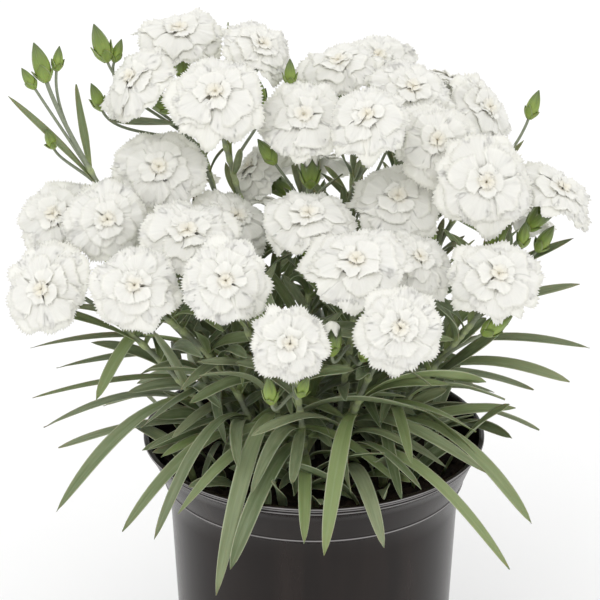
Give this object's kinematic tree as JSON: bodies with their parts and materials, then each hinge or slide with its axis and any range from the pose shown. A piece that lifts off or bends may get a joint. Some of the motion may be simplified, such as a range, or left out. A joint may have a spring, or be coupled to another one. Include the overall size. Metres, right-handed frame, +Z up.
{
  "type": "potted plant",
  "caption": "Double white dianthus in flower, with buds and narrow grey-green leaves, growing in a round dark plastic nursery pot with a flared rim band.",
  "frame": {"origin": "centre of the pot's flat bottom, which rests on the floor", "axes": "+Z up along the pot's axis, +X to the right in the front view, and the front of the plant faces -Y"},
  "size_m": [0.2878, 0.2484, 0.3641],
  "materials": {
    "pot_plastic": "satin, injection moulded",
    "soil": "rough potting compost",
    "petal_white": "matte, thin petals",
    "leaf_green": "matte, waxy grey-green"
  },
  "bodies": {
    "root": {"pot": "pot_plastic", "soil": "soil", "bloom_01": "petal_white", "bloom_02": "petal_white", "bloom_03": "petal_white", "bloom_04": "petal_white", "bloom_05": "petal_white", "bloom_06": "petal_white", "bloom_07": "petal_white", "bloom_08": "petal_white", "bloom_09": "petal_white", "bloom_10": "petal_white", "bloom_11": "petal_white", "bloom_12": "petal_white", "bloom_13": "petal_white", "bloom_14": "petal_white", "bloom_15": "petal_white", "bloom_16": "petal_white", "bloom_17": "petal_white", "bloom_18": "petal_white", "bloom_19": "petal_white", "bloom_20": "petal_white", "bloom_21": "petal_white", "bloom_22": "petal_white", "bloom_23": "petal_white", "bloom_24": "petal_white", "bloom_25": "petal_white", "bloom_26": "petal_white", "bloom_27": "petal_white", "bloom_28": "petal_white", "bloom_29": "petal_white", "bloom_30": "petal_white", "bloom_31": "petal_white", "bloom_32": "petal_white", "bloom_33": "petal_white", "bloom_34": "petal_white", "bloom_35": "petal_white", "bloom_36": "petal_white", "stem_01": "leaf_green", "stem_02": "leaf_green", "stem_03": "leaf_green", "stem_04": "leaf_green", "stem_05": "leaf_green", "stem_06": "leaf_green", "stem_07": "leaf_green", "stem_08": "leaf_green", "stem_09": "leaf_green", "stem_10": "leaf_green", "stem_11": "leaf_green", "stem_12": "leaf_green", "stem_13": "leaf_green", "stem_14": "leaf_green", "stem_15": "leaf_green", "stem_16": "leaf_green", "stem_17": "leaf_green", "stem_18": "leaf_green", "stem_19": "leaf_green", "stem_20": "leaf_green", "stem_21": "leaf_green", "stem_22": "leaf_green"}
  },
  "joints": []
}
